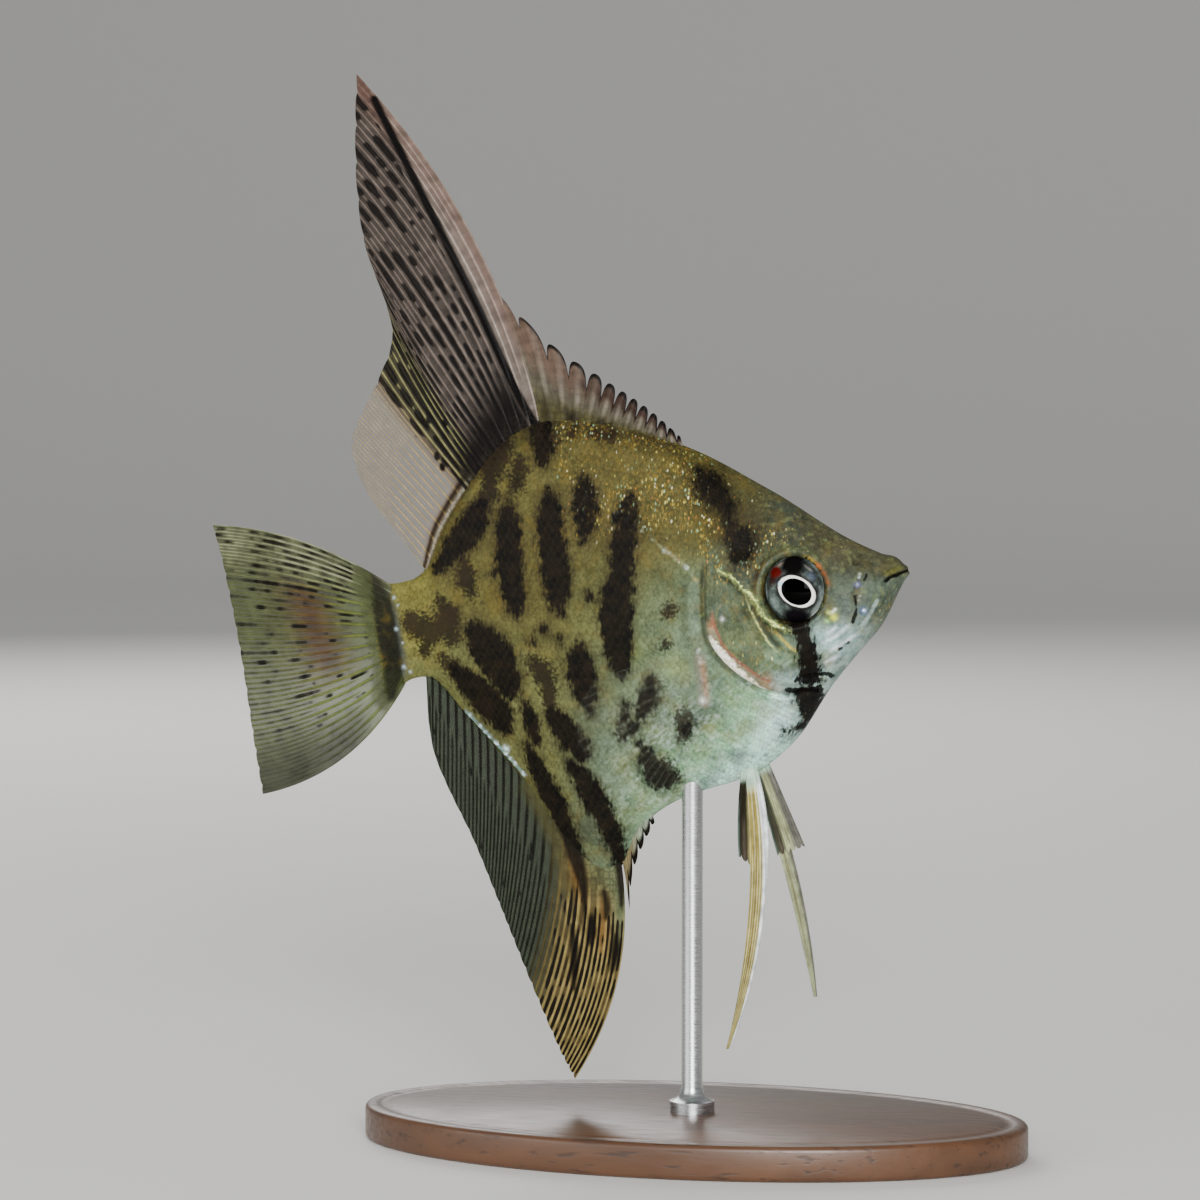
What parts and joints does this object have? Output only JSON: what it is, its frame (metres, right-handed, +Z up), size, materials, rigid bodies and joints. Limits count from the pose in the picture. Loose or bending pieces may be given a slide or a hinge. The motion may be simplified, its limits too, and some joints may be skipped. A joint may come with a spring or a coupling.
{
  "type": "freshwater angelfish",
  "caption": "Freshwater angelfish, tall and flat, with long dorsal, anal and pelvic fins, held swimming on a slim rod above a flat oval base.",
  "frame": {"origin": "middle of the underside of the stand's oval base", "axes": "+Z up, +X the way the fish faces, +Y to the fish's left"},
  "size_m": [0.1212, 0.052, 0.1526],
  "materials": {
    "skin": "wet fish skin, olive over silver, with dark bars",
    "eye": "clear wet eye, silver iris, black pupil",
    "fin": "thin wet fin skin on rays, dark spots",
    "fin_clear": "glass-clear fin skin on fine rays",
    "fin_pale": "cream fin rays",
    "stand_wood": "dark satin lacquer",
    "stand_steel": "brushed"
  },
  "bodies": {
    "root": {"head": "skin", "upper_jaw": "skin", "lower_jaw": "skin", "trunk": "skin", "tail_stem": "skin", "gill_cover_right": "skin", "gill_cover_left": "skin", "eye_right": "eye", "eye_left": "eye", "dorsal_fin_spiny": "fin", "dorsal_fin_soft": "fin", "anal_fin_spiny": "fin", "anal_fin_soft": "fin", "tail_fin": "fin", "pectoral_fin_right": "fin_clear", "pectoral_fin_left": "fin_clear", "pelvic_fin_right": "fin_pale", "pelvic_fin_left": "fin_pale", "stand_base": "stand_wood", "stand_rod": "stand_steel"}
  },
  "joints": []
}
